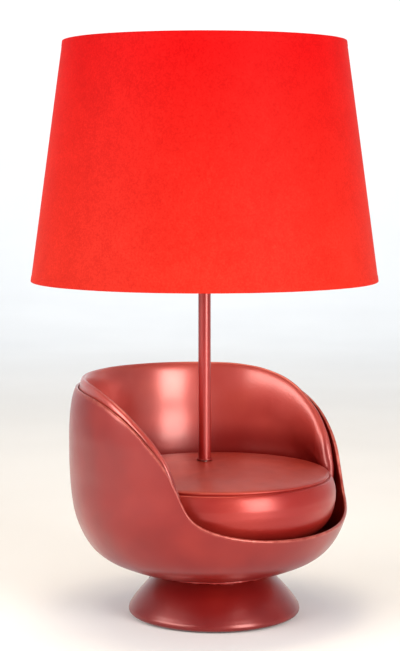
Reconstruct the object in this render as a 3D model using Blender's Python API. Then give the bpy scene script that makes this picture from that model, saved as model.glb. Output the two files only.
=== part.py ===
"""Table lamp: red lacquered tub-chair base, tubular stem, tapered velvet drum shade.

Frame: metres, +Z up, origin on the stem axis at the underside of the felt.
The chair faces -Y and is mirrored about X = 0.  All sizes below are in mm.
"""
import math
import bpy
import bmesh

MM = 0.001

# ----------------------------------------------------------------- sizes (mm)
SHADE_R_BOTTOM = 175.0
SHADE_R_TOP = 141.6
SHADE_Z_BOTTOM = 338.5
SHADE_Z_TOP = 577.3
COVER_T = 0.8
LINER_T = 0.7
GAP = 0.3
WIRE_R = 2.0

STEM_R = 6.35
STEM_BORE = 5.40
ROD_R = 5.0
ROD_BORE = 3.6
ROD_HOLE = 5.4

SHELL_Y = -9.0
SEAT_Y = -17.5
PED_Y = -13.5
SHELL_T = 3.2
SHELL_PROFILE = [(58.0, 45.0), (78.0, 48.0), (94.5, 53.8), (109.5, 61.0), (119.5, 69.0), (127.5, 79.5),
                 (133.0, 90.0), (136.8, 100.0), (140.2, 112.0), (142.8, 125.0), (144.6, 140.0), (145.6, 160.0),
                 (145.6, 185.0), (144.7, 202.0), (142.7, 218.0), (139.6, 229.0), (135.0, 238.0)]
RIM = [(0, 97.5), (10, 98.0), (23, 99.7), (31, 102.0), (38.5, 105.3), (45.5, 110.0), (51, 115.8), (55, 122.5),
       (57.5, 131.5), (60.5, 148.0), (63, 161.0), (66, 172.5), (69.5, 182.0), (73, 191.0), (77, 199.5), (81, 206.5),
       (88, 216.0), (97, 224.0), (110, 229.7), (135, 232.5), (180, 233.0)]
ARM_PINCH = 0.045                     # the tub is drawn in a little across its arms

PAD_END = 60.0
PAD_BOTTOM = 110.0
PAD_T = 2.0
PAD_LIP = [(60, 139.0), (62, 153.0), (63.5, 162.0), (66, 174.0), (70, 186.0), (73, 194.0), (77, 202.3), (81, 209.5),
           (86, 217.8), (90, 223.0), (94, 227.4), (100, 232.2), (110, 237.6), (125, 240.8), (180, 242.0)]
PAD_R_LOW = [(52, 127.6), (57, 127.1), (71, 125.3), (86, 123.1), (96, 121.6), (106, 120.2), (120, 119.2), (180, 119.0)]
PAD_R_TOP = [(58, 126.6), (60.5, 126.2), (64, 122.8), (70, 120.2), (80, 119.2), (180, 118.6)]
PAD_CLEAR = [(60, 2.3), (68, 2.6), (80, 2.2), (92, 1.3), (102, 0.7), (180, 0.7)]
PAD_EXTRA = [(110, 0.8), (135, 0.7), (165, 0.5), (195, 0.5), (212, 1.1), (233, 1.2)]

SEAT_R = 113.0
SEAT_EDGE_Z = 145.4
SEAT_CROWN = 9.4
SEAT_T = 2.0

HOLDER_Z = 352.0
CARRIER_Z = 386.0

RED = (0.42, 0.030, 0.022, 1.0)


# ------------------------------------------------------------------- helpers
def pchip(table, x):
    """Monotone cubic interpolation through a table of (x, y)."""
    n = len(table)
    if x <= table[0][0]:
        return table[0][1]
    if x >= table[-1][0]:
        return table[-1][1]
    h = [table[i + 1][0] - table[i][0] for i in range(n - 1)]
    d = [(table[i + 1][1] - table[i][1]) / h[i] for i in range(n - 1)]
    m = [d[0]] + [0.0] * (n - 2) + [d[-1]]
    for i in range(1, n - 1):
        if d[i - 1] * d[i] > 0:
            w1, w2 = 2 * h[i] + h[i - 1], h[i] + 2 * h[i - 1]
            m[i] = (w1 + w2) / (w1 / d[i - 1] + w2 / d[i])
    k = 0
    while k < n - 2 and x > table[k + 1][0]:
        k += 1
    t = (x - table[k][0]) / h[k]
    return ((2 * t ** 3 - 3 * t ** 2 + 1) * table[k][1] + (t ** 3 - 2 * t ** 2 + t) * h[k] * m[k]
            + (-2 * t ** 3 + 3 * t ** 2) * table[k + 1][1] + (t ** 3 - t ** 2) * h[k] * m[k + 1])


def lerp_table(table, x):
    if x <= table[0][0]:
        return table[0][1]
    for (x0, y0), (x1, y1) in zip(table, table[1:]):
        if x <= x1:
            return y0 + (y1 - y0) * (x - x0) / (x1 - x0)
    return table[-1][1]


def material(name, colour, metallic, roughness):
    m = bpy.data.materials.new(name)
    m.use_nodes = True
    b = m.node_tree.nodes["Principled BSDF"]
    b.inputs["Base Color"].default_value = colour
    b.inputs["Metallic"].default_value = metallic
    b.inputs["Roughness"].default_value = roughness
    return m


def add_object(name, verts, faces, mat, origin=(0.0, 0.0, 0.0), angle=40.0):
    """Mesh object from mm world coordinates, outward facing, smooth shaded."""
    me = bpy.data.meshes.new(name)
    me.from_pydata([((x - origin[0]) * MM, (y - origin[1]) * MM, (z - origin[2]) * MM) for x, y, z in verts], [], faces)
    bm = bmesh.new()
    bm.from_mesh(me)
    bmesh.ops.recalc_face_normals(bm, faces=bm.faces[:])
    if bm.calc_volume(signed=True) < 0:
        bmesh.ops.reverse_faces(bm, faces=bm.faces[:])
    bm.to_mesh(me)
    bm.free()
    me.shade_smooth()
    me.set_sharp_from_angle(angle=math.radians(angle))
    me.materials.append(material(name + "_mat", *mat))
    ob = bpy.data.objects.new(name, me)
    ob.location = [c * MM for c in origin]
    bpy.context.scene.collection.objects.link(ob)
    return ob


def stitch(rings, loop):
    """Faces through equal rings; a ring holding one point is a pole."""
    verts, index = [], []
    for r in rings:
        index.append(list(range(len(verts), len(verts) + len(r))))
        verts.extend(r)
    pairs = list(zip(index, index[1:]))
    if loop:
        pairs.append((index[-1], index[0]))
    faces = []
    for a, b in pairs:
        n = max(len(a), len(b))
        for i in range(n):
            j = (i + 1) % n
            if len(a) == 1:
                faces.append((a[0], b[i], b[j]))
            elif len(b) == 1:
                faces.append((a[i], b[0], a[j]))
            else:
                faces.append((a[i], b[i], b[j], a[j]))
    return verts, faces


def circle(r, z, n, cx=0.0, cy=0.0, start=0.0):
    if r <= 1e-6:
        return [(cx, cy, z)]
    return [(cx + r * math.sin(start + 2 * math.pi * i / n), cy - r * math.cos(start + 2 * math.pi * i / n), z)
            for i in range(n)]


def lathe(name, profile, n, mat, centre=(0.0, 0.0), origin=(0.0, 0.0, 0.0), angle=40.0):
    """Turned piece: a loop clear of the axis gives a ring, a line from axis to axis gives a solid."""
    rings = [circle(r, z, n, centre[0], centre[1]) for r, z in profile]
    loop = len(rings[0]) > 1 and len(rings[-1]) > 1
    v, f = stitch(rings, loop)
    return add_object(name, v, f, mat, origin, angle)


def torus_profile(r_major, r_minor, z, k):
    return [(r_major + r_minor * math.cos(2 * math.pi * i / k), z + r_minor * math.sin(2 * math.pi * i / k))
            for i in range(k)]


def rod(name, p0, p1, r, n, mat, origin=(0.0, 0.0, 0.0)):
    """Round straight bar with a small chamfer at each end."""
    d = [b - a for a, b in zip(p0, p1)]
    length = math.sqrt(sum(c * c for c in d))
    t = [c / length for c in d]
    u = [-t[1], t[0], 0.0]
    s = math.hypot(u[0], u[1])
    u = [1.0, 0.0, 0.0] if s < 1e-9 else [c / s for c in u]
    w = [t[1] * u[2] - t[2] * u[1], t[2] * u[0] - t[0] * u[2], t[0] * u[1] - t[1] * u[0]]
    c = 0.25 * r
    rings = []
    for dist, rr in ((0.0, 0.0), (0.0, r - c), (c, r), (length - c, r), (length, r - c), (length, 0.0)):
        base = [p0[k] + t[k] * dist for k in range(3)]
        if rr == 0.0:
            rings.append([tuple(base)])
        else:
            rings.append([tuple(base[k] + rr * (math.cos(2 * math.pi * i / n) * u[k]
                                                + math.sin(2 * math.pi * i / n) * w[k]) for k in range(3))
                          for i in range(n)])
    v, f = stitch(rings, False)
    return add_object(name, v, f, mat, origin)


def cut(ob, tool, angle=40.0):
    """Subtract tool from ob and remove the tool."""
    tool.hide_render = True
    tool.display_type = "WIRE"
    mod = ob.modifiers.new("cut", "BOOLEAN")
    mod.operation = "DIFFERENCE"
    mod.solver = "EXACT"
    mod.object = tool
    bpy.context.view_layer.update()
    dg = bpy.context.evaluated_depsgraph_get()
    me = bpy.data.meshes.new_from_object(ob.evaluated_get(dg))
    ob.modifiers.remove(mod)
    old = ob.data
    mats = [m for m in old.materials]
    ob.data = me
    me.materials.clear()
    for m in mats:
        me.materials.append(m)
    for p in me.polygons:
        p.material_index = 0
    me.name = ob.name
    me.shade_smooth()
    me.set_sharp_from_angle(angle=math.radians(angle))
    tm = tool.data
    bpy.data.objects.remove(tool, do_unlink=True)
    bpy.data.meshes.remove(tm)
    bpy.data.meshes.remove(old)


# ------------------------------------------------------------ chair surfaces
def shell_radius(z):
    return pchip([(b, a) for a, b in SHELL_PROFILE], z)


def shell_curve(step=0.5):
    """Outer wall line with running length and outward normal: (r, z, s, nr, nz)."""
    z0, z1 = SHELL_PROFILE[0][1], SHELL_PROFILE[-1][1]
    n = int(round((z1 - z0) / step))
    pts = [(shell_radius(z0 + (z1 - z0) * i / n), z0 + (z1 - z0) * i / n) for i in range(n + 1)]
    out, s = [], 0.0
    for i, (r, z) in enumerate(pts):
        a, b = pts[max(i - 1, 0)], pts[min(i + 1, n)]
        tr, tz = b[0] - a[0], b[1] - a[1]
        ln = math.hypot(tr, tz)
        if i:
            s += math.hypot(r - pts[i - 1][0], z - pts[i - 1][1])
        out.append((r, z, s, tz / ln, -tr / ln))
    return out


CURVE = shell_curve()


def curve_at(s):
    s = min(max(s, 0.0), CURVE[-1][2])
    lo, hi = 0, len(CURVE) - 1
    while hi - lo > 1:
        mid = (lo + hi) // 2
        if CURVE[mid][2] <= s:
            lo = mid
        else:
            hi = mid
    a, b = CURVE[lo], CURVE[hi]
    t = (s - a[2]) / (b[2] - a[2])
    return tuple(a[k] + (b[k] - a[k]) * t for k in (0, 1, 3, 4))


def length_at(z):
    for a, b in zip(CURVE, CURVE[1:]):
        if z <= b[1]:
            return a[2] + (b[2] - a[2]) * (z - a[1]) / (b[1] - a[1])
    return CURVE[-1][2]


def shell_inner_radius(z):
    best = None
    for r, zz, s, nr, nz in CURVE:
        d = abs(zz - SHELL_T * nz - z)
        if best is None or d < best[0]:
            best = (d, r - SHELL_T * nr)
    return best[1]


def rim_z(deg):
    a = abs((deg + 180.0) % 360.0 - 180.0)
    return pchip([(float(x), y) for x, y in RIM], a)


def rim_angles(count):
    """Angles from the front spaced evenly along the rim line, mirrored."""
    half = count // 2
    fine = [180.0 * i / 1440 for i in range(1441)]
    s, run, prev = 0.0, [0.0], None
    for a in fine:
        z = rim_z(a)
        r = shell_radius(min(z, SHELL_PROFILE[-1][1]))
        p = (r * math.sin(math.radians(a)), r * math.cos(math.radians(a)), z)
        if prev is not None:
            s += math.dist(p, prev)
            run.append(s)
        prev = p
    out, k = [], 0
    for i in range(half + 1):
        want = s * i / half
        while k < len(run) - 2 and run[k + 1] < want:
            k += 1
        t = (want - run[k]) / (run[k + 1] - run[k])
        out.append(fine[k] + (fine[k + 1] - fine[k]) * t)
    return out + [360.0 - a for a in reversed(out[1:-1])]


def seat_top(d):
    return SEAT_EDGE_Z + SEAT_CROWN * (1.0 - (d / SEAT_R) ** 2)


def pinch(deg, z):
    """Factor on the tub's radius: 1 at the foot, front and back, less across the arms."""
    w = min(1.0, max(0.0, (z - 98.0) / 52.0))
    w = w * w * (3.0 - 2.0 * w)
    return 1.0 - ARM_PINCH * math.sin(math.radians(deg)) ** 4 * w


def build_shell(columns=52, rows=8):
    angles = rim_angles(columns)
    keep = [0.0] * columns

    def flat(r, z, cy):
        return [(r * math.sin(math.radians(a)), cy - r * math.cos(math.radians(a)), z) for a in angles]

    z_out = SHELL_PROFILE[0][1]
    z_in = z_out + SHELL_T
    rings = [flat(ROD_HOLE, z_out, 0.0), flat(30.0, z_out, SHELL_Y * 0.55)]
    grid_out, grid_in = [], []
    for j in range(rows + 1):
        ro, ri = [], []
        for i, a in enumerate(angles):
            top = length_at(rim_z(a))
            s = (top - 1.2) * (j / rows) ** 1.15
            r, z, nr, nz = curve_at(s)
            sa, ca = math.sin(math.radians(a)), math.cos(math.radians(a))
            r2, z2 = r - SHELL_T * nr, z - SHELL_T * nz
            k = pinch(a, z)
            ro.append((r * k * sa, SHELL_Y - r * k * ca, z))
            ri.append((r2 * k * sa, SHELL_Y - r2 * k * ca, z2))
        grid_out.append(ro)
        grid_in.append(ri)
    edge_out, edge_in = [], []
    for a in angles:
        top = length_at(rim_z(a))
        r, z, nr, nz = curve_at(top)
        sa, ca = math.sin(math.radians(a)), math.cos(math.radians(a))
        for lst, t in ((edge_out, 1.0), (edge_in, SHELL_T - 1.0)):
            k = (r - t * nr) * pinch(a, z)
            lst.append((k * sa, SHELL_Y - k * ca, z - t * nz))
    rings += grid_out + [edge_out, edge_in] + grid_in[::-1]
    rings += [flat(30.0, z_in, SHELL_Y * 0.55), flat(ROD_HOLE, z_in, 0.0)]
    v, f = stitch(rings, True)
    return add_object("outer_shell", v, f, (RED, 0.9, 0.35))


def pad_section(a, inset, drop):
    """Section of the back pad at angle a, inset from the skin; drop lowers the open bottom."""
    lip = pchip([(float(x), y) for x, y in PAD_LIP], a) - inset
    clear = lerp_table(PAD_CLEAR, a)
    low = lerp_table(PAD_R_LOW, a) + inset
    top = lerp_table(PAD_R_TOP, a) + inset
    zb = PAD_BOTTOM - drop

    def outer(z):
        z = max(min(z, 233.0), PAD_BOTTOM)
        return shell_inner_radius(z) * pinch(a, z) - clear - inset - lerp_table(PAD_EXTRA, z)

    c_out, c_in = 9.0 - inset, 6.5 - inset
    h = lip - PAD_BOTTOM
    zo = lip - min(c_out, 0.45 * h)
    zi = lip - min(c_in, 0.40 * h)
    ro, ri = outer(zo), top
    pts = [(outer(PAD_BOTTOM), zb)]
    for k in (1, 2):
        z = PAD_BOTTOM + (zo - PAD_BOTTOM) * k / 3.0
        pts.append((outer(z), z))
    co, ci = min(c_out, 0.42 * (ro - ri)), min(c_in, 0.36 * (ro - ri))
    for k in range(0, 4):
        t = math.radians(30.0 * k)
        pts.append((ro - co + co * math.cos(t), zo + (lip - zo) * math.sin(t)))
    for k in range(0, 4):
        t = math.radians(30.0 * k)
        pts.append((ri + ci - ci * math.sin(t), zi + (lip - zi) * math.cos(t)))
    zk = min(148.0, PAD_BOTTOM + 0.62 * (zi - PAD_BOTTOM))
    pts.append((low, zk))
    pts.append((low, zb))
    return pts


def swept_block(name, angles, inset, drop, mat):
    secs = []
    for a in angles:
        b = a if a <= 180.0 else 360.0 - a
        sa, ca = math.sin(math.radians(a)), math.cos(math.radians(a))
        secs.append([(r * sa, SHELL_Y - r * ca, z) for r, z in pad_section(b, inset, drop)])
    verts, m = [], len(secs[0])
    for s in secs:
        verts.extend(s)
    faces = []
    for i in range(len(secs) - 1):
        for j in range(m):
            k = (j + 1) % m
            faces.append((i * m + j, i * m + k, (i + 1) * m + k, (i + 1) * m + j))
    faces.append(tuple(range(m)))
    last = (len(secs) - 1) * m
    faces.append(tuple(last + j for j in reversed(range(m))))
    return add_object(name, verts, faces, mat)


def build_pad():
    near = [60, 62, 64.5, 68, 72.5, 78, 85, 93, 103, 115, 128, 141, 154, 167, 180]
    ring = near + [360 - a for a in reversed(near[:-1])]
    body = swept_block("back_pad", ring, 0.0, 0.0, (RED, 0.9, 0.35))
    inner = [near[0] + 1.2] + near[1:]
    inner = inner + [360 - a for a in reversed(inner[:-1])]
    tool = swept_block("pad_void", inner, PAD_T, 6.0, (RED, 0.9, 0.35))
    cut(body, tool)
    return body


def blended_rings(radii, y_far, n, height):
    """Rings growing from the rod hole on the stem axis to a circle about (0, y_far)."""
    last = radii[-1]
    out = []
    for r in radii:
        b = (r - radii[0]) / (last - radii[0])
        cy = y_far * b
        ring = []
        for i in range(n):
            t = 2 * math.pi * i / n
            x, y = r * math.sin(t), cy - r * math.cos(t)
            ring.append((x, y, height(math.hypot(x, y - y_far))))
        out.append(ring)
    return out


def build_cushion(n=36):
    rings = blended_rings([ROD_HOLE, 45.0, 85.0, 112.6], SEAT_Y, n, seat_top)
    side = [(114.2, 144.9), (116.4, 146.4), (118.0, 145.2), (120.3, 136.5), (120.9, 126.5), (119.6, 113.5),
            (114.6, 99.8), (107.0, 90.6), (99.0, 87.4)]
    for r, z in side:
        rings.append(circle(r, z, n, 0.0, SEAT_Y))
    inner = [(99.0, 89.4), (105.9, 92.3), (112.9, 100.8), (117.7, 114.0), (118.9, 126.5), (118.2, 136.2),
             (115.6, 142.0)]
    for r, z in inner:
        rings.append(circle(r, z, n, 0.0, SEAT_Y))
    rings += blended_rings([ROD_HOLE, 60.0, 112.6], SEAT_Y, n, lambda d: seat_top(d) - SEAT_T - 0.4)[::-1]
    v, f = stitch(rings, True)
    return add_object("seat_cushion", v, f, (RED, 0.9, 0.35))


PED_OUT = [(54.2, 44.6), (63.2, 36.0), (71.2, 27.9), (78.4, 19.5), (84.6, 11.3), (87.2, 5.6),
           (86.4, 2.3), (81.0, 1.0)]
PED_IN = [(81.0, 2.6), (84.6, 3.1), (85.0, 6.4), (82.6, 10.9), (76.8, 18.6), (61.9, 34.6), (53.4, 42.6)]


def build_pedestal(n=36):
    rings = blended_rings([ROD_HOLE, PED_OUT[0][0]], PED_Y, n, lambda d: PED_OUT[0][1])
    rings += [circle(r, z, n, 0.0, PED_Y) for r, z in PED_OUT[1:] + PED_IN[:-1]]
    rings += blended_rings([ROD_HOLE, PED_IN[-1][0]], PED_Y, n, lambda d: PED_IN[-1][1])[::-1]
    v, f = stitch(rings, True)
    ob = add_object("pedestal", v, f, (RED, 0.9, 0.35))
    tool = rod("cable_hole", (0.0, 54.0, GROMMET_Z), (0.0, 84.0, GROMMET_Z), 5.0, 20, (RED, 0.9, 0.35))
    cut(ob, tool)
    return ob


GROMMET_Z = 16.5


def build_grommet(n=16):
    """Turned bushing lying along Y at the rear of the pedestal."""
    prof = [(3.3, 60.5), (4.7, 60.5), (4.7, 73.0), (6.4, 73.3), (6.4, 75.2), (5.4, 76.4),
            (3.9, 76.4), (3.3, 75.6)]
    rings = [[(r * math.sin(2 * math.pi * i / n), y, GROMMET_Z + r * math.cos(2 * math.pi * i / n))
              for i in range(n)] for r, y in prof]
    v, f = stitch(rings, True)
    return add_object("cable_grommet", v, f, ((0.02, 0.02, 0.022, 1.0), 0.0, 0.85))


def hex_nut(name, z0, z1, flats, bore, mat, n=12):
    """Hexagon nut with a round bore."""
    def hexr(t):
        k = (t + math.pi / 6) % (math.pi / 3) - math.pi / 6
        return flats / 2 / math.cos(k)
    def outer(z, shrink=0.0):
        return [((hexr(2 * math.pi * i / n) - shrink) * math.sin(2 * math.pi * i / n),
                 -(hexr(2 * math.pi * i / n) - shrink) * math.cos(2 * math.pi * i / n), z) for i in range(n)]
    rings = [circle(bore, z0, n), outer(z0, 0.5), outer(z0 + 0.5), outer(z1 - 0.5), outer(z1, 0.5), circle(bore, z1, n)]
    v, f = stitch(rings, True)
    return add_object(name, v, f, mat, angle=25.0)


def shade_r(z):
    return SHADE_R_BOTTOM + (SHADE_R_TOP - SHADE_R_BOTTOM) * (z - SHADE_Z_BOTTOM) / (SHADE_Z_TOP - SHADE_Z_BOTTOM)


def build():
    steel = ((0.62, 0.62, 0.60, 1.0), 0.9, 0.4)
    brass = ((0.78, 0.57, 0.25, 1.0), 0.9, 0.3)
    paint = (RED, 0.9, 0.35)
    white = ((0.82, 0.81, 0.78, 1.0), 0.0, 0.7)

    # --- chair
    build_shell()
    build_pad()
    build_cushion()
    seat_low = blended_rings([ROD_HOLE, 97.5], SEAT_Y, 30, lambda d: 90.6)
    seat_high = blended_rings([ROD_HOLE, 97.5], SEAT_Y, 30, lambda d: 92.6)
    v, f = stitch(seat_high + seat_low[::-1], True)
    add_object("seat_pan", v, f, steel)
    lathe("cushion_spacer", [(5.9, 92.9), (10.5, 92.9), (10.5, 151.2), (5.9, 151.2)], 18, steel)
    lathe("seat_riser", [(5.9, 48.5), (15.0, 48.5), (15.0, 90.3), (5.9, 90.3)], 20, steel)

    # --- foot
    build_pedestal()
    lathe("joint_bead", torus_profile(57.8, 1.1, 43.4, 5), 36, paint, centre=(0.0, PED_Y))
    lathe("base_plate", [(0.0, 3.4), (83.2, 3.4), (83.8, 4.0), (83.8, 6.8), (83.2, 7.4), (0.0, 7.4)], 36, steel,
          centre=(0.0, PED_Y))
    lathe("felt_pad", [(0.0, 0.0), (79.6, 0.0), (79.9, 0.4), (79.9, 2.6), (79.6, 3.0), (0.0, 3.0)], 36,
          ((0.035, 0.035, 0.035, 1.0), 0.0, 0.9), centre=(0.0, PED_Y))
    build_grommet()

    # --- rod, stem and fixings
    lathe("threaded_rod", [(ROD_BORE, 30.0), (4.7, 30.0), (ROD_R, 30.5), (ROD_R, 362.5), (4.7, 363.0),
                           (ROD_BORE, 363.0)], 20, steel)
    lathe("bottom_washer", [(ROD_HOLE, 40.5), (12.0, 40.5), (12.0, 42.2), (ROD_HOLE, 42.2)], 24, steel)
    hex_nut("bottom_nut", 34.8, 40.2, 17.0, 5.3, steel)
    z_foot = 155.1
    lathe("stem_tube", [(STEM_BORE, z_foot), (STEM_R, z_foot), (STEM_R, HOLDER_Z - 0.3), (STEM_BORE, HOLDER_Z - 0.3)],
          24, paint)
    lathe("stem_foot_bead", torus_profile(STEM_R + GAP + 0.95, 0.95, z_foot + 1.05, 5), 16, paint)

    # --- lampholder
    h = HOLDER_Z
    lathe("lampholder_cap", [(ROD_HOLE, h), (12.0, h), (16.6, h + 5.0), (17.4, h + 12.0),
                             (17.4, h + 20.0), (15.6, h + 20.0), (15.6, h + 12.0), (14.6, h + 6.0),
                             (10.8, h + 2.2), (ROD_HOLE, h + 2.2)], 20, white)
    hex_nut("top_nut", h + 2.5, h + 6.5, 14.0, 5.3, steel)
    lathe("terminal_block", [(0.0, h + 12.0), (13.8, h + 12.0), (14.4, h + 12.6), (14.4, h + 24.4), (13.8, h + 25.0),
                             (0.0, h + 25.0)], 24, ((0.80, 0.79, 0.75, 1.0), 0.0, 0.7))
    lathe("lampholder_body", [(14.9, h + 20.3), (18.0, h + 20.3), (18.0, h + 24.0), (19.5, h + 26.0),
                              (19.5, h + 56.5), (18.8, h + 57.5), (15.2, h + 57.5), (14.9, h + 56.8)], 24, white)
    lathe("contact_sleeve", [(13.75, h + 29.0), (14.35, h + 29.0), (14.35, h + 52.0), (13.75, h + 52.0)], 24, brass)
    lathe("centre_contact", [(0.0, h + 25.3), (4.0, h + 25.3), (4.2, h + 25.6), (3.4, h + 27.2), (0.0, h + 27.6)], 16,
          brass)
    lathe("shade_support_ring", [(20.0, h + 25.5), (25.0, h + 25.5), (28.6, h + 30.0), (28.6, h + 32.6),
                                 (20.0, h + 32.6)], 24, white)

    # --- retaining ring (threaded) with its flange
    zc = CARRIER_Z
    lathe("ring_flange", [(20.0, zc + 1.1), (28.6, zc + 1.1), (28.6, zc + 2.7), (20.0, zc + 2.7)], 24, white,
          origin=(0.0, 0.0, zc + 1.9))
    lathe("retaining_ring", [(20.0, zc + 3.0), (25.2, zc + 3.0), (25.6, zc + 3.5), (25.2, zc + 10.4),
                             (24.6, zc + 11.0), (20.0, zc + 11.0)], 24, white, origin=(0.0, 0.0, zc + 7.0))

    # --- bulb, E27 A60
    b = h + 28.0
    lathe("bulb_tip_contact", [(0.0, b), (3.2, b + 0.5), (4.6, b + 1.3), (4.6, b + 1.7), (0.0, b + 1.7)], 16,
          ((0.70, 0.70, 0.68, 1.0), 0.9, 0.4), origin=(0.0, 0.0, b))
    lathe("bulb_insulator", [(0.0, b + 2.0), (5.0, b + 2.0), (9.6, b + 4.4), (9.6, b + 6.0), (0.0, b + 6.0)], 20,
          ((0.02, 0.02, 0.02, 1.0), 0.0, 0.25), origin=(0.0, 0.0, b + 4.0))
    lathe("bulb_cap", [(9.9, b + 4.7), (12.4, b + 6.6), (13.1, b + 8.0), (13.1, b + 24.6), (12.6, b + 25.6),
                       (11.9, b + 25.6), (12.3, b + 24.0), (12.3, b + 8.6), (9.9, b + 6.4)], 20,
          ((0.72, 0.70, 0.66, 1.0), 0.9, 0.4), origin=(0.0, 0.0, b + 15.0))
    glass_out = [(12.0, b + 26.0), (13.6, b + 32.0), (20.4, b + 45.0), (27.2, b + 58.0),
                 (30.0, b + 74.0), (27.9, b + 89.5), (19.6, b + 103.0), (9.0, b + 108.8), (0.0, b + 110.0)]
    glass_in = [(0.0, b + 108.6), (8.6, b + 107.5), (18.6, b + 102.0), (26.6, b + 89.0), (28.6, b + 74.0),
                (25.8, b + 58.4), (19.0, b + 45.6), (12.4, b + 32.4), (11.0, b + 26.0)]
    v, f = stitch([circle(r, z, 20) for r, z in glass_in + glass_out], False)
    add_object("bulb_glass", v, f, ((0.9, 0.9, 0.88, 1.0), 0.0, 0.05), (0.0, 0.0, b + 70.0))

    # --- shade
    origin = (0.0, 0.0, CARRIER_Z)
    zb, zt = SHADE_Z_BOTTOM, SHADE_Z_TOP
    lathe("shade_cover", [(shade_r(zb), zb), (shade_r(zt), zt),
                          (shade_r(zt) - COVER_T, zt), (shade_r(zb) - COVER_T, zb)], 48,
          ((0.45, 0.010, 0.014, 1.0), 0.0, 0.9), origin=origin)
    inset = COVER_T + GAP
    z0, z1 = zb + 1.2, zt - 1.2
    lathe("shade_liner", [(shade_r(z0) - inset, z0), (shade_r(z1) - inset, z1), (shade_r(z1) - inset - LINER_T, z1),
                          (shade_r(z0) - inset - LINER_T, z0)], 48, ((0.85, 0.84, 0.80, 1.0), 0.0, 0.7), origin=origin)
    inset += LINER_T + GAP + WIRE_R
    zr0, zr1 = zb + 3.6, zt - 3.6
    r0, r1 = shade_r(zr0) - inset - 0.15, shade_r(zr1) - inset - 0.15
    chrome = ((0.75, 0.75, 0.74, 1.0), 0.9, 0.4)
    lathe("shade_bottom_wire", torus_profile(r0, WIRE_R, zr0, 5), 42, chrome, origin=origin)
    lathe("shade_top_wire", torus_profile(r1, WIRE_R, zr1, 5), 42, chrome, origin=origin)
    lathe("carrier_ring", [(21.0, zc - 0.75), (28.0, zc - 0.75), (28.3, zc), (28.0, zc + 0.75), (21.0, zc + 0.75)], 28,
          chrome, origin=origin)
    for k in range(3):
        t = math.radians(120.0 * k)
        ra, rb = 28.3 + 0.4 + 0.7, r0 - WIRE_R - 0.6
        p0 = (ra * math.sin(t), -ra * math.cos(t), zc - 0.4)
        p1 = (rb * math.sin(t), -rb * math.cos(t), zr0 + 0.6)
        rod("shade_arm_%d" % (k + 1), p0, p1, 1.7, 10, chrome, origin)


for _ob in list(bpy.data.objects):
    bpy.data.objects.remove(_ob, do_unlink=True)
for _me in list(bpy.data.meshes):
    bpy.data.meshes.remove(_me)
for _mat in list(bpy.data.materials):
    bpy.data.materials.remove(_mat)
build()
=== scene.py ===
import bpy, bmesh, math
import numpy as np
from mathutils import Vector, Matrix, noise


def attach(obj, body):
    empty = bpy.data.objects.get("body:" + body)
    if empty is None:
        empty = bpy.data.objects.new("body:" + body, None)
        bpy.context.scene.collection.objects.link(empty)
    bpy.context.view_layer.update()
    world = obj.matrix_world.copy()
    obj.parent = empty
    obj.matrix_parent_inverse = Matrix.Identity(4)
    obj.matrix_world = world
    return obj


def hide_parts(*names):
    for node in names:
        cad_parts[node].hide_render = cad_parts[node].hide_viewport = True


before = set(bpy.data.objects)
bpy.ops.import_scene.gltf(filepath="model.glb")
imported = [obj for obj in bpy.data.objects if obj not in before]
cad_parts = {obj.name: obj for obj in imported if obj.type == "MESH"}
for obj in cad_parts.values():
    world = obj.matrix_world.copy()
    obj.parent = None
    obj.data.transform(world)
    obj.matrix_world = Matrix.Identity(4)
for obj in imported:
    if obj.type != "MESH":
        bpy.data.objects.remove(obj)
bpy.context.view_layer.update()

MM = 0.001

# ------------------------------------------------------------------ the design's own numbers, mm
SHADE_R_BOTTOM, SHADE_R_TOP = 175.0, 141.6
SHADE_Z_BOTTOM, SHADE_Z_TOP = 338.5, 577.3
COVER_T, LINER_T, GAP, WIRE_R = 0.8, 0.7, 0.3, 2.0
STEM_R, STEM_BORE, ROD_HOLE = 6.35, 5.40, 5.4
SHELL_Y, SEAT_Y, PED_Y = -9.0, -17.5, -13.5
SHELL_T = 3.2
SHELL_PROFILE = [(58.0, 45.0), (78.0, 48.0), (94.5, 53.8), (109.5, 61.0), (119.5, 69.0), (127.5, 79.5),
                 (133.0, 90.0), (136.8, 100.0), (140.2, 112.0), (142.8, 125.0), (144.6, 140.0), (145.6, 160.0),
                 (145.6, 185.0), (144.7, 202.0), (142.7, 218.0), (139.6, 229.0), (135.0, 238.0)]
RIM = [(0, 97.5), (10, 98.0), (23, 99.7), (31, 102.0), (38.5, 105.3), (45.5, 110.0), (51, 115.8), (55, 122.5),
       (57.5, 131.5), (60.5, 148.0), (63, 161.0), (66, 172.5), (69.5, 182.0), (73, 191.0), (77, 199.5), (81, 206.5),
       (88, 216.0), (97, 224.0), (110, 229.7), (135, 232.5), (180, 233.0)]
ARM_PINCH = 0.045
PAD_END, PAD_BOTTOM = 60.0, 110.0
PAD_LIP = [(60, 139.0), (62, 153.0), (63.5, 162.0), (66, 174.0), (70, 186.0), (73, 194.0), (77, 202.3), (81, 209.5),
           (86, 217.8), (90, 223.0), (94, 227.4), (100, 232.2), (110, 237.6), (125, 240.8), (180, 242.0)]
PAD_R_LOW = [(52, 127.6), (57, 127.1), (71, 125.3), (86, 123.1), (96, 121.6), (106, 120.2), (120, 119.2), (180, 119.0)]
PAD_R_TOP = [(58, 126.6), (60.5, 126.2), (64, 123.4), (70, 122.0), (80, 121.6), (180, 121.2)]
PAD_CLEAR = [(60, 2.0), (68, 2.3), (80, 1.9), (88, 0.9), (96, 0.1), (180, 0.0)]
SEAT_R, SEAT_EDGE_Z, SEAT_CROWN, SEAT_T = 113.0, 145.4, 9.4, 2.0
HOLDER_Z, CARRIER_Z, GROMMET_Z, FOOT_Z = 352.0, 386.0, 16.5, 155.1


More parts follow.
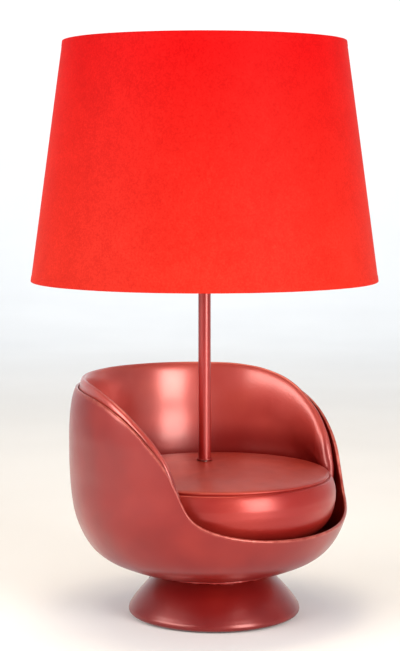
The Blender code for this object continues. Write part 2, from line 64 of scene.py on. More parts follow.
# ------------------------------------------------------------------ helpers
def pchip(table, x):
    xs = np.array([p[0] for p in table], float)
    ys = np.array([p[1] for p in table], float)
    h, d = np.diff(xs), np.diff(ys) / np.diff(xs)
    m = np.zeros(len(xs))
    m[0], m[-1] = d[0], d[-1]
    for i in range(1, len(xs) - 1):
        if d[i - 1] * d[i] > 0:
            w1, w2 = 2 * h[i] + h[i - 1], h[i] + 2 * h[i - 1]
            m[i] = (w1 + w2) / (w1 / d[i - 1] + w2 / d[i])
    x = np.clip(np.asarray(x, float), xs[0], xs[-1])
    k = np.clip(np.searchsorted(xs, x, side="right") - 1, 0, len(xs) - 2)
    t = (x - xs[k]) / h[k]
    return ((2 * t ** 3 - 3 * t ** 2 + 1) * ys[k] + (t ** 3 - 2 * t ** 2 + t) * h[k] * m[k]
            + (-2 * t ** 3 + 3 * t ** 2) * ys[k + 1] + (t ** 3 - t ** 2) * h[k] * m[k + 1])


def lerp(table, x):
    return np.interp(x, [p[0] for p in table], [p[1] for p in table])


def dense(points, step):
    """A smooth line through the points, sampled about every step mm, with no overshoot."""
    p = np.array(points, float)
    s = np.concatenate([[0], np.cumsum(np.hypot(*np.diff(p, axis=0).T))])
    n = max(2, int(math.ceil(s[-1] / step)) + 1)
    t = np.linspace(0, s[-1], n)
    r = pchip(list(zip(s, p[:, 0])), t)
    z = pchip(list(zip(s, p[:, 1])), t)
    return list(zip(r, z))


def join(*lines):
    """Chains profile pieces, dropping doubled points; corners between pieces stay corners."""
    out = []
    for ln in lines:
        for q in ln:
            if not out or math.hypot(out[-1][0] - q[0], out[-1][1] - q[1]) > 1e-4:
                out.append((float(q[0]), float(q[1])))
    return out


def fillet(points, radius, k=4, closed=True):
    """Rounds the corners of a polygon line with small arcs."""
    n, out = len(points), []
    for i, p in enumerate(points):
        if not closed and i in (0, n - 1):
            out.append(p)
            continue
        a, b = np.array(points[i - 1], float), np.array(points[(i + 1) % n], float)
        c = np.array(p, float)
        u, v = a - c, b - c
        lu, lv = np.linalg.norm(u), np.linalg.norm(v)
        if p[0] < 1e-6 or lu < 1e-6 or lv < 1e-6:
            out.append(p)
            continue
        u, v = u / lu, v / lv
        r = radius[i] if isinstance(radius, (list, tuple)) else radius
        d = min(r, 0.45 * lu, 0.45 * lv)
        if d <= 0:
            out.append(p)
            continue
        for j in range(k + 1):
            t = j / k
            q = (1 - t) ** 2 * (c + u * d) + 2 * t * (1 - t) * c + t ** 2 * (c + v * d)
            out.append((float(q[0]), float(q[1])))
    return out


def stitch(rings, loop):
    verts = np.concatenate([np.asarray(r, float).reshape(-1, 3) for r in rings])
    start = np.cumsum([0] + [len(np.asarray(r).reshape(-1, 3)) for r in rings])
    faces, count = [], [start[i + 1] - start[i] for i in range(len(rings))]
    pairs = [(i, i + 1) for i in range(len(rings) - 1)] + ([(len(rings) - 1, 0)] if loop else [])
    for a, b in pairs:
        na, nb, sa, sb = count[a], count[b], start[a], start[b]
        n = max(na, nb)
        i = np.arange(n)
        j = (i + 1) % n
        if na == 1:
            f = np.stack([np.full(n, sa), sb + i, sb + j], 1)
        elif nb == 1:
            f = np.stack([sa + i, np.full(n, sb), sa + j], 1)
        else:
            f = np.stack([sa + i, sb + i, sb + j, sa + j], 1)
        faces += f.tolist()
    return verts, faces


def make(name, verts, faces, mat, body, node=None, angle=35.0, attrs=None):
    me = bpy.data.meshes.new(name)
    me.from_pydata((np.asarray(verts) * MM).tolist(), [], faces)
    if attrs:
        for key, values in attrs.items():
            a = me.attributes.new(key, "FLOAT", "POINT")
            a.data.foreach_set("value", np.asarray(values, np.float32))
    bm = bmesh.new()
    bm.from_mesh(me)
    bmesh.ops.recalc_face_normals(bm, faces=bm.faces[:])
    if bm.calc_volume(signed=True) < 0:
        bmesh.ops.reverse_faces(bm, faces=bm.faces[:])
    bm.to_mesh(me)
    bm.free()
    me.shade_smooth()
    me.set_sharp_from_angle(angle=math.radians(angle))
    me.materials.append(mat)
    ob = bpy.data.objects.new(name, me)
    bpy.context.scene.collection.objects.link(ob)
    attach(ob, body)
    if node:
        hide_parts(*([node] if isinstance(node, str) else node))
    return ob


def ring(r, z, n, cx=0.0, cy=0.0):
    if np.isscalar(r) and r < 1e-6:
        return np.array([[cx, cy, z]])
    t = 2 * np.pi * np.arange(n) / n
    return np.stack([cx + r * np.sin(t), cy - r * np.cos(t), np.full(n, z) if np.isscalar(z) else z], 1)


def lathe(name, profile, n, mat, body, node, centre=(0.0, 0.0), shape=None, angle=35.0, loop=None):
    """Turned piece; shape(r, z, t) may vary the radius round the turn, t in radians."""
    t = 2 * np.pi * np.arange(n) / n
    rings = []
    for r, z in profile:
        if r < 1e-6:
            rings.append(np.array([[centre[0], centre[1], z]]))
            continue
        rr = np.full(n, r) if shape is None else shape(r, z, t)
        zz = np.full(n, z)
        if isinstance(rr, tuple):
            rr, zz = rr
        rings.append(np.stack([centre[0] + rr * np.sin(t), centre[1] - rr * np.cos(t), zz], 1))
    loop = (profile[0][0] > 1e-6 and profile[-1][0] > 1e-6) if loop is None else loop
    v, f = stitch(rings, loop)
    return make(name, v, f, mat, body, node, angle)


def torus_line(rm, rr, z, k=20):
    return [(rm + rr * math.cos(2 * math.pi * i / k), z + rr * math.sin(2 * math.pi * i / k)) for i in range(k)]


def tube(name, path, radii, n, mat, body, node, angle=35.0):
    """Round bar along a line of points with a radius at each, closed at both ends."""
    p = np.array(path, float)
    tan = np.gradient(p, axis=0)
    tan /= np.linalg.norm(tan, axis=1)[:, None]
    up = np.array([0.0, 0.0, 1.0]) if abs(tan[0][2]) < 0.9 else np.array([1.0, 0.0, 0.0])
    rings = [p[:1]]
    a = 2 * np.pi * np.arange(n) / n
    for q, d, r in zip(p, tan, radii):
        u = np.cross(d, up)
        u /= np.linalg.norm(u)
        w = np.cross(u, d)
        rings.append(q + r * (np.cos(a)[:, None] * u + np.sin(a)[:, None] * w))
    rings.append(p[-1:])
    v, f = stitch(rings, False)
    return make(name, v, f, mat, body, node, angle)


def wobble(x, y, z, size, amp, seed=0.0):
    """Slow unevenness of hand-finished metal, in mm."""
    k = 2 * np.pi / size
    return amp * (0.5 * np.sin(k * (x + 0.31 * z) + seed) * np.cos(k * (0.83 * y - 0.22 * z) + 1.7 * seed)
                  + 0.3 * np.sin(k * 1.7 * (y + 0.4 * z) + 2.1 + seed) + 0.2 * np.sin(k * 2.3 * (z - 0.3 * x) + 0.7 + seed))


# ------------------------------------------------------------------ materials
def new_mat(name):
    m = bpy.data.materials.new(name)
    m.use_nodes = True
    nt = m.node_tree
    return m, nt, nt.nodes["Principled BSDF"]


def node(nt, kind, **inputs):
    n = nt.nodes.new(kind)
    for k, v in inputs.items():
        if k.startswith("_"):
            setattr(n, k[1:], v)
        else:
            n.inputs[k.replace("__", " ")].default_value = v
    return n


def noise_tex(nt, coord, scale, detail=3.0, rough=0.5, distortion=0.0):
    n = node(nt, "ShaderNodeTexNoise", Scale=scale, Detail=detail, Roughness=rough, Distortion=distortion)
    nt.links.new(coord, n.inputs["Vector"])
    return n


def ramp(nt, fac, stops):
    r = nt.nodes.new("ShaderNodeValToRGB")
    el = r.color_ramp.elements
    while len(el) < len(stops):
        el.new(0.5)
    for e, (pos, col) in zip(el, stops):
        e.position = pos
        e.color = col if len(col) == 4 else (*col, 1.0)
    nt.links.new(fac, r.inputs["Fac"])
    return r


def remap(nt, value, a, b, c, d):
    n = node(nt, "ShaderNodeMapRange")
    n.inputs["From Min"].default_value = a
    n.inputs["From Max"].default_value = b
    n.inputs["To Min"].default_value = c
    n.inputs["To Max"].default_value = d
    nt.links.new(value, n.inputs["Value"])
    return n


def coords(nt):
    return nt.nodes.new("ShaderNodeTexCoord").outputs["Object"]


def bump(nt, height, strength, distance, prev=None):
    b = node(nt, "ShaderNodeBump", Strength=strength, Distance=distance)
    nt.links.new(height, b.inputs["Height"])
    if prev is not None:
        nt.links.new(prev, b.inputs["Normal"])
    return b.outputs["Normal"]


def lacquer(name, edge=False, dull=False, foot=None, coat=0.50, base=(0.29, 0.007, 0.005), deep=(0.25, 0.003, 0.003), pale=(0.33, 0.013, 0.007)):
    m, nt, b = new_mat(name)
    c = coords(nt)
    broad = noise_tex(nt, c, 18.0, 2.0, 0.5, 0.3)
    col = ramp(nt, broad.outputs["Fac"], [(0.30, deep), (0.52, base), (0.74, pale)])
    flake = noise_tex(nt, c, 2600.0, 2.0, 0.6)
    mix = node(nt, "ShaderNodeMix", _data_type="RGBA", _blend_type="MULTIPLY")
    mix.inputs["Factor"].default_value = 0.30
    nt.links.new(col.outputs["Color"], mix.inputs["A"])
    fl = ramp(nt, flake.outputs["Fac"], [(0.35, (0.70, 0.68, 0.68)), (0.65, (1.0, 1.0, 1.0))])
    nt.links.new(fl.outputs["Color"], mix.inputs["B"])
    colour = mix.outputs["Result"]
    # painted shade: with foot given, the colour is multiplied darker and redder below the height foot[1], darkest below
    # foot[0], standing in for the shadow and dark reflection just above the seat
    if foot is not None:
        sep = nt.nodes.new("ShaderNodeSeparateXYZ")
        nt.links.new(c, sep.inputs[0])
        low = remap(nt, sep.outputs["Z"], foot[0], foot[1], 0.0, 1.0)
        low.interpolation_type = "SMOOTHSTEP"
        painted_shade_low = ramp(nt, low.outputs["Result"], [(0.0, (0.58, 0.20, 0.20)), (1.0, (1.0, 1.0, 1.0))])
        m0 = node(nt, "ShaderNodeMix", _data_type="RGBA", _blend_type="MULTIPLY")
        m0.inputs["Factor"].default_value = 1.0
        nt.links.new(colour, m0.inputs["A"])
        nt.links.new(painted_shade_low.outputs["Color"], m0.inputs["B"])
        colour = m0.outputs["Result"]
    # wear and painted highlight: where the edge mask is set, the colour is mixed in patches towards a light pink,
    # partly rubbed wear and partly a painted highlight along the rim
    if edge:
        at = node(nt, "ShaderNodeAttribute", _attribute_name="edge")
        wear_and_highlight = noise_tex(nt, c, 160.0, 4.0, 0.65)
        mul = node(nt, "ShaderNodeMath", _operation="MULTIPLY")
        nt.links.new(at.outputs["Fac"], mul.inputs[0])
        nt.links.new(remap(nt, wear_and_highlight.outputs["Fac"], 0.38, 0.62, 0.10, 0.45).outputs["Result"], mul.inputs[1])
        m2 = node(nt, "ShaderNodeMix", _data_type="RGBA")
        nt.links.new(mul.outputs[0], m2.inputs["Factor"])
        nt.links.new(colour, m2.inputs["A"])
        m2.inputs["B"].default_value = (0.66, 0.20, 0.15, 1.0)
        colour = m2.outputs["Result"]
    b.inputs["Metallic"].default_value = 0.34
    b.inputs["Coat Weight"].default_value = coat
    rg = remap(nt, noise_tex(nt, c, 55.0, 4.0, 0.6).outputs["Fac"], 0.3, 0.7, 0.32, 0.38)
    rough = rg.outputs["Result"]
    # painted warm light: on the masked seat top the colour is mixed towards an orange-brown, standing in for warm light
    # falling on the top; the roughness is also raised there
    if dull:
        at = node(nt, "ShaderNodeAttribute", _attribute_name="dull")
        m3 = node(nt, "ShaderNodeMix", _data_type="RGBA")
        nt.links.new(remap(nt, at.outputs["Fac"], 0.0, 1.0, 0.0, 0.55).outputs["Result"], m3.inputs["Factor"])
        nt.links.new(colour, m3.inputs["A"])
        painted_warm_top = ramp(nt, noise_tex(nt, c, 34.0, 3.0, 0.55, 0.6).outputs["Fac"], [(0.3, (0.27, 0.018, 0.006)), (0.7, (0.40, 0.034, 0.010))])
        nt.links.new(painted_warm_top.outputs["Color"], m3.inputs["B"])
        colour = m3.outputs["Result"]
        add = node(nt, "ShaderNodeMath", _operation="ADD")
        nt.links.new(rough, add.inputs[0])
        nt.links.new(remap(nt, at.outputs["Fac"], 0.0, 1.0, 0.0, 0.13).outputs["Result"], add.inputs[1])
        rough = add.outputs[0]
    nt.links.new(colour, b.inputs["Base Color"])
    nt.links.new(rough, b.inputs["Roughness"])
    b.inputs["Specular IOR Level"].default_value = 0.45
    b.inputs["Coat Roughness"].default_value = 0.23
    b.inputs["Coat IOR"].default_value = 1.5
    n1 = bump(nt, noise_tex(nt, c, 420.0, 2.0, 0.5).outputs["Fac"], 0.08, 0.0003)
    n2 = bump(nt, noise_tex(nt, c, 2200.0, 2.0, 0.6).outputs["Fac"], 0.10, 0.0001, n1)
    nt.links.new(n2, b.inputs["Normal"])
    return m


def velvet(name):
    m, nt, b = new_mat(name)
    c = coords(nt)
    # pile laid in soft patches, a middle-sized mottle, finer speckle of the fibre tips
    big = noise_tex(nt, c, 22.0, 4.0, 0.6, 0.8)
    fine = noise_tex(nt, c, 520.0, 3.0, 0.75)
    mid = noise_tex(nt, c, 140.0, 4.0, 0.65, 0.4)
    add = node(nt, "ShaderNodeMath", _operation="ADD")
    nt.links.new(remap(nt, big.outputs["Fac"], 0.25, 0.75, 0.0, 0.24).outputs["Result"], add.inputs[0])
    nt.links.new(remap(nt, mid.outputs["Fac"], 0.25, 0.75, 0.10, 0.32).outputs["Result"], add.inputs[1])
    add2 = node(nt, "ShaderNodeMath", _operation="ADD")
    nt.links.new(add.outputs[0], add2.inputs[0])
    nt.links.new(remap(nt, fine.outputs["Fac"], 0.30, 0.70, 0.0, 0.52).outputs["Result"], add2.inputs[1])
    col = ramp(nt, add2.outputs[0], [(0.10, (0.36, 0.0004, 0.0010)), (0.50, (0.45, 0.0010, 0.0018)), (0.90, (0.56, 0.0050, 0.0050))])
    painted_sheen_col = ramp(nt, add2.outputs[0], [(0.10, (0.38, 0.0100, 0.0050)), (0.50, (0.48, 0.0150, 0.0075)), (0.90, (0.60, 0.0260, 0.0140))])
    sep = nt.nodes.new("ShaderNodeSeparateXYZ")
    nt.links.new(c, sep.inputs[0])
    # painted light: the cloth is painted a little warmer and lighter towards the lower hem, standing in for sheen and
    # bounced light there, the same all the way round
    painted_sheen_fade = remap(nt, sep.outputs["Z"], 0.56, 0.35, 0.0, 1.0)
    m1 = node(nt, "ShaderNodeMix", _data_type="RGBA")
    nt.links.new(painted_sheen_fade.outputs["Result"], m1.inputs["Factor"])
    nt.links.new(col.outputs["Color"], m1.inputs["A"])
    nt.links.new(painted_sheen_col.outputs["Color"], m1.inputs["B"])
    nt.links.new(m1.outputs["Result"], b.inputs["Base Color"])
    b.inputs["Roughness"].default_value = 0.62
    b.inputs["Specular IOR Level"].default_value = 0.06
    b.inputs["Sheen Weight"].default_value = 0.20
    b.inputs["Sheen Roughness"].default_value = 0.35
    b.inputs["Sheen Tint"].default_value = (1.0, 0.14, 0.10, 1.0)
    n1 = bump(nt, mid.outputs["Fac"], 0.10, 0.0010)
    n2 = bump(nt, fine.outputs["Fac"], 0.35, 0.0004, n1)
    nt.links.new(n2, b.inputs["Normal"])
    return m


def plain(name, colour, dark, metallic, rough, scale, bump_scale, bump_d, bump_s=0.2, spec=0.5, coat=0.0):
    m, nt, b = new_mat(name)
    c = coords(nt)
    n = noise_tex(nt, c, scale, 4.0, 0.6, 0.2)
    col = ramp(nt, n.outputs["Fac"], [(0.3, dark), (0.7, colour)])
    nt.links.new(col.outputs["Color"], b.inputs["Base Color"])
    b.inputs["Metallic"].default_value = metallic
    rg = remap(nt, noise_tex(nt, c, scale * 2.7, 3.0).outputs["Fac"], 0.3, 0.7, max(0.03, rough - 0.06), rough + 0.06)
    nt.links.new(rg.outputs["Result"], b.inputs["Roughness"])
    b.inputs["Specular IOR Level"].default_value = spec
    b.inputs["Coat Weight"].default_value = coat
    nt.links.new(bump(nt, noise_tex(nt, c, bump_scale, 3.0, 0.6).outputs["Fac"], bump_s, bump_d), b.inputs["Normal"])
    return m


M_LAC = lacquer("red_lacquer_fine")
M_LAC_EDGE = lacquer("red_lacquer_edges", edge=True, base=(0.25, 0.006, 0.004), deep=(0.215, 0.003, 0.002), pale=(0.29, 0.012, 0.007))
# red_lacquer_stem_painted_light is a lighter copy of the lacquer with more coat: the lighter colour is painted light on
# the stem
M_STEM_PAINTED_LIGHT = lacquer("red_lacquer_stem_painted_light", coat=0.8, base=(0.34, 0.010, 0.008))
# red_lacquer_foot_painted_shade is a darker copy of the lacquer: painted shade for the tub's shadow on the pedestal
M_FOOT_PAINTED_SHADE = lacquer("red_lacquer_foot_painted_shade", base=(0.20, 0.004, 0.003), deep=(0.17, 0.002, 0.002), pale=(0.23, 0.007, 0.004))
# red_lacquer_seat_painted_warmth is a lighter, warmer copy of the lacquer: painted warm light on the seat
M_SEAT_PAINTED_WARMTH = lacquer("red_lacquer_seat_painted_warmth", dull=True, coat=0.28, base=(0.33, 0.018, 0.013), deep=(0.29, 0.011, 0.009), pale=(0.37, 0.026, 0.017))
# red_lacquer_pad_painted_light is a lighter, pinker copy of the lacquer: painted light for the brightly lit inner wall,
# with painted shade darkening it near its foot above the seat
M_PAD_PAINTED_LIGHT = lacquer("red_lacquer_pad_painted_light", foot=(0.156, 0.182), coat=0.85, base=(0.42, 0.046, 0.036), deep=(0.38, 0.034, 0.026),
                pale=(0.46, 0.060, 0.044))
# red_lacquer_bead_painted_glint is a much lighter copy of the lacquer with full coat: the lighter colour is a painted
# glint on the weld bead
M_BEAD_PAINTED_GLINT = lacquer("red_lacquer_bead_painted_glint", coat=1.0, base=(0.46, 0.020, 0.014))
M_VELVET = velvet("red_velvet_pile")
M_LINER = plain("white_pvc_lining", (0.86, 0.85, 0.81), (0.79, 0.78, 0.74), 0.0, 0.55, 60.0, 700.0, 0.00015)
M_WIRE = plain("white_coated_wire", (0.84, 0.84, 0.82), (0.74, 0.74, 0.72), 0.0, 0.38, 90.0, 900.0, 0.0001, coat=0.3)
M_HOLDER = plain("white_thermoset", (0.84, 0.83, 0.79), (0.77, 0.76, 0.72), 0.0, 0.32, 70.0, 1200.0, 0.00006, coat=0.2)
M_BLOCK = plain("insulating_block", (0.80, 0.79, 0.74), (0.70, 0.69, 0.64), 0.0, 0.6, 120.0, 1500.0, 0.0001)
M_ZINC = plain("zinc_plated_steel", (0.68, 0.68, 0.66), (0.52, 0.52, 0.50), 0.9, 0.34, 140.0, 1600.0, 0.00005)
M_BRASS = plain("plain_brass", (0.80, 0.60, 0.27), (0.66, 0.46, 0.18), 0.9, 0.28, 120.0, 1500.0, 0.00005)
M_CAP = plain("bulb_cap_alloy", (0.76, 0.74, 0.70), (0.64, 0.62, 0.58), 0.9, 0.3, 120.0, 1500.0, 0.00005)
M_RUBBER = plain("black_rubber_soft", (0.030, 0.030, 0.032), (0.016, 0.016, 0.017), 0.0, 0.75, 160.0, 1400.0, 0.00012)
M_FELT = plain("black_felt_pile", (0.050, 0.049, 0.047), (0.020, 0.020, 0.020), 0.0, 0.95, 500.0, 1900.0, 0.0006, 0.7, 0.1)
M_BLACKGLASS = plain("black_glass", (0.022, 0.022, 0.024), (0.012, 0.012, 0.013), 0.0, 0.14, 80.0, 1200.0, 0.00003)
M_OPAL = plain("opal_glass", (0.93, 0.93, 0.90), (0.88, 0.88, 0.85), 0.0, 0.16, 40.0, 800.0, 0.00003, 0.1, 0.6, 0.4)
_b = M_OPAL.node_tree.nodes["Principled BSDF"]
_b.inputs["Subsurface Weight"].default_value = 0.25
_b.inputs["Subsurface Radius"].default_value = (0.01, 0.01, 0.01)


# ------------------------------------------------------------------ tub
def shell_radius(z):
    return pchip([(b, a) for a, b in SHELL_PROFILE], z)


_z = np.linspace(SHELL_PROFILE[0][1], SHELL_PROFILE[-1][1], 1600)
_r = shell_radius(_z)
_s = np.concatenate([[0], np.cumsum(np.hypot(np.diff(_r), np.diff(_z)))])
_tr, _tz = np.gradient(_r, _s), np.gradient(_z, _s)
_ln = np.hypot(_tr, _tz)
_tr, _tz = _tr / _ln, _tz / _ln
_k = np.ones(41) / 41.0
_tr = np.convolve(np.pad(_tr, 20, mode="edge"), _k, mode="valid")
_tz = np.convolve(np.pad(_tz, 20, mode="edge"), _k, mode="valid")
_ln = np.hypot(_tr, _tz)
_tr, _tz = _tr / _ln, _tz / _ln


def curve_at(s):
    return (np.interp(s, _s, _r), np.interp(s, _s, _z), np.interp(s, _s, _tz), -np.interp(s, _s, _tr))


def rim_z(deg):
    a = np.abs((np.asarray(deg, float) + 180.0) % 360.0 - 180.0)
    return pchip([(float(x), y) for x, y in RIM], a)


def pinch(deg, z):
    w = np.clip((np.asarray(z, float) - 98.0) / 52.0, 0.0, 1.0)
    w = w * w * (3.0 - 2.0 * w)
    return 1.0 - ARM_PINCH * np.sin(np.radians(deg)) ** 4 * w


def smooth_rim(deg):
    """The rim line with its joints eased."""
    d = np.linspace(-2.4, 2.4, 7)
    return np.mean([rim_z(np.asarray(deg) + k) for k in d], axis=0)


def rim_angles(count):
    half = count // 2
    fine = np.linspace(0, 180, 3601)
    z = smooth_rim(fine)
    r = shell_radius(np.minimum(z, SHELL_PROFILE[-1][1]))
    x, y = r * np.sin(np.radians(fine)), r * np.cos(np.radians(fine))
    s = np.concatenate([[0], np.cumsum(np.sqrt(np.diff(x) ** 2 + np.diff(y) ** 2 + np.diff(z) ** 2))])
    out = np.interp(np.linspace(0, s[-1], half + 1), s, fine)
    return np.concatenate([out, 360.0 - out[1:-1][::-1]])


def shell():
    ang = rim_angles(384)
    n = len(ang)
    t = np.radians(ang)
    sn, cs = np.sin(t), np.cos(t)
    top = np.interp(smooth_rim(ang), _z, _s)

    def at(s, inward, lift=0.0, edge=0.0):
        r, z, nr, nz = curve_at(s)
        tr, tz = -nz, nr
        r2, z2 = r - inward * nr + lift * tr, z - inward * nz + lift * tz
        w = wobble(r * sn, r * cs, z, 75.0, 0.16) if inward == 0.0 else 0.0
        r2 = (r2 + w * nr) * pinch(ang, z)
        z2 = z2 + w * nz
        return np.stack([r2 * sn, SHELL_Y - r2 * cs, z2], 1)

    def flat(r, z, cy):
        return np.stack([r * sn, cy - r * cs, np.full(n, z)], 1)

    z_out, z_in = SHELL_PROFILE[0][1], SHELL_PROFILE[0][1] + SHELL_T
    # edge holds the rim mask for the light pink rim colour, partly wear and partly painted highlight
    rings, edge = [], []
    for q in (0.0, 0.3, 0.6):
        r = ROD_HOLE + (58.0 - ROD_HOLE) * q
        rings.append(flat(r, z_out, SHELL_Y * q))
        edge.append(np.zeros(n))
    rows = 72
    half = SHELL_T / 2
    for j in range(rows + 1):
        f = (j / rows) ** 1.05
        s = (top - half) * f
        rings.append(at(s, 0.0))
        edge.append(np.clip(1.0 - (top - s - half) / 1.4, 0, 1) * 0.6)
    for k in range(1, 12):
        a = math.pi * k / 12
        rings.append(at(top - half, half - half * math.cos(a), half * math.sin(a)))
        edge.append(np.ones(n) * (0.6 + 0.4 * math.sin(a)))
    for j in range(rows, -1, -2):
        f = (j / rows) ** 1.05
        rings.append(at((top - half) * f, SHELL_T))
        edge.append(np.zeros(n))
    for q in (0.6, 0.3, 0.0):
        r = ROD_HOLE + (58.0 - ROD_HOLE) * q
        rings.append(flat(r, z_in, SHELL_Y * q))
        edge.append(np.zeros(n))
    v, f = stitch(rings, True)
    return make("outer_shell_skin", v, f, M_LAC_EDGE, "base", "outer_shell",
                attrs={"edge": np.concatenate(edge)})


# ------------------------------------------------------------------ back pad
_zi = _z - SHELL_T * (-_tr)
_ri = _r - SHELL_T * _tz


def shell_inner_radius(z):
    return np.interp(z, _zi, _ri)


def pad_line(a, inset=0.0):
    """Section of the back pad at angle a: down the outside, over a softly double-rolled lip, down the inside."""
    lip = float(np.mean([pchip([(float(x), y) for x, y in PAD_LIP], a + k) for k in (-1.6, -0.8, 0.0, 0.8, 1.6)])) - inset
    clear = float(lerp(PAD_CLEAR, a)) + 0.12
    low = float(lerp(PAD_R_LOW, a)) + inset
    top = float(lerp(PAD_R_TOP, a)) + inset
    zb = PAD_BOTTOM + inset

    def outer(z):
        z = min(max(z, PAD_BOTTOM), 233.0)
        return float(shell_inner_radius(z)) * float(pinch(a, z)) - clear - inset - float(
            lerp([(110, 0.8), (135, 0.7), (165, 0.4), (195, 0.25), (212, 0.2), (233, 0.1)], z))

    h = lip - PAD_BOTTOM
    zo, zi = lip - min(7.5 - inset, 0.45 * h), lip - min(46.0 - inset, 0.44 * h)
    ro, ri = outer(zo), top
    pts = []
    for k in range(14):
        z = zb + (zo - zb) * k / 14.0
        pts.append((outer(z), z))
    co, ci = min(6.5 - inset, 0.30 * (ro - ri)), min(12.0 - inset, 0.64 * (ro - ri))
    for k in range(13):
        t = math.radians(90.0 * k / 12)
        pts.append((ro - co + co * math.cos(t), zo + (lip - zo) * math.sin(t)))
    ra, rb = ro - co, ri + ci
    for k in range(1, 9):
        f = k / 9.0
        pts.append((ra + (rb - ra) * f, lip - 0.55 * math.sin(math.pi * f) ** 2))
    for k in range(13):
        t = math.radians(90.0 * k / 12)
        pts.append((ri + ci - ci * math.sin(t), zi + (lip - zi) * math.cos(t)))
    zk = min(148.0, PAD_BOTTOM + 0.62 * (zi - PAD_BOTTOM))
    for k in range(1, 15):
        z = zi + (zb - zi) * k / 14.0
        f = max(0.0, (z - zk) / (zi - zk))
        f = f * f * (3 - 2 * f) if f < 1 else 1.0
        pts.append((low + (top - low) * f, z))
    return pts


def pad():
    round_r, secs = 3.0, []
    steps = [90.0 * k / 6 for k in range(6)]
    ends = []
    for e in steps:
        a = PAD_END + math.degrees(round_r * (1 - math.cos(math.radians(e))) / 130.0)
        ends.append((a, round_r * (1 - math.sin(math.radians(e)))))
    first = PAD_END + math.degrees(round_r / 130.0)
    mid = np.concatenate([np.linspace(first, 72, 22), np.linspace(72.7, 110, 46), np.linspace(111.5, 180, 46)])
    mid = np.concatenate([mid, 360.0 - mid[:-1][::-1]])
    order = ends + [(a, 0.0) for a in mid] + [(360.0 - a, i) for a, i in reversed(ends)]
    for a, inset in order:
        b = a if a <= 180.0 else 360.0 - a
        line = np.array(pad_line(b, inset))
        t = math.radians(a)
        x, y = line[:, 0] * math.sin(t), line[:, 0] * math.cos(t)
        w = wobble(x, y, line[:, 1], 60.0, 0.22, 2.0)
        r = line[:, 0] - 0.5 * np.abs(w)
        secs.append(np.stack([r * math.sin(t), SHELL_Y - r * math.cos(t), line[:, 1] + 0.3 * w], 1))
    v = np.concatenate(secs)
    m, q = len(secs[0]), len(secs)
    faces = []
    for i in range(q - 1):
        for j in range(m):
            k = (j + 1) % m
            faces.append((i * m + j, i * m + k, (i + 1) * m + k, (i + 1) * m + j))
    faces.append(tuple(range(m)))
    faces.append(tuple((q - 1) * m + j for j in reversed(range(m))))
    return make("back_pad_skin", v, faces, M_PAD_PAINTED_LIGHT, "base", "back_pad")


# ------------------------------------------------------------------ cushion, pan and foot
def blended(radii, y_far, n, height):
    out, t = [], 2 * np.pi * np.arange(n) / n
    for r in radii:
        b = (r - radii[0]) / (radii[-1] - radii[0])
        x, y = r * np.sin(t), y_far * b - r * np.cos(t)
        out.append(np.stack([x, y, height(x, y - y_far)], 1))
    return out


def cushion(n=320):
    def top(x, y):
        d = np.hypot(x, y)
        return SEAT_EDGE_Z + SEAT_CROWN * (1.0 - (d / SEAT_R) ** 2) + wobble(x, y, 0.0, 85.0, 0.22, 1.0) * np.clip(
            (SEAT_R - d) / 30.0, 0, 1)

    radii = np.concatenate([[ROD_HOLE, ROD_HOLE + 0.6], np.linspace(9.0, 109.8, 34), [110.9]])
    rings = blended(list(radii), SEAT_Y, n, top)
    groove = dense([(111.9, 145.3), (112.8, 144.9), (113.4, 144.2), (113.4, 143.4), (112.9, 142.7), (112.7, 142.2),
                    (113.0, 141.8), (113.8, 141.9), (115.0, 141.8), (116.0, 141.1), (116.8, 139.8)], 0.25)
    side = dense([(116.8, 139.8), (117.8, 137.6), (118.9, 134.4), (119.7, 130.6), (120.2, 126.0), (120.2, 121.0),
                  (119.1, 113.5), (116.9, 105.5), (113.2, 98.6), (108.2, 92.6), (103.4, 89.0), (99.6, 87.5)], 1.3)
    for r, z in join(groove, side):
        rings.append(ring(r, z, n, 0.0, SEAT_Y))
    for r, z in dense([(98.9, 87.6), (98.7, 88.6), (99.2, 89.3), (105.9, 92.6), (112.0, 100.8), (116.0, 112.0), (117.6, 123.5),
                       (116.6, 131.5), (113.6, 137.2), (110.8, 140.4)], 3.0):
        rings.append(ring(r, z, n, 0.0, SEAT_Y))
    rings += blended([ROD_HOLE, 60.0, 109.4], SEAT_Y, n, lambda x, y: top(x, y) - SEAT_T - 0.2)[::-1]
    v, f = stitch(rings, True)
    # mask of the seat top: rougher there, and painted warmer for the warm light on it
    dull = np.zeros(len(v))
    dull[:len(radii) * n] = 1.0
    dull[len(radii) * n:(len(radii) + 12) * n] = 0.6
    return make("seat_cushion_skin", v, f, M_SEAT_PAINTED_WARMTH, "base", "seat_cushion", attrs={"dull": dull})


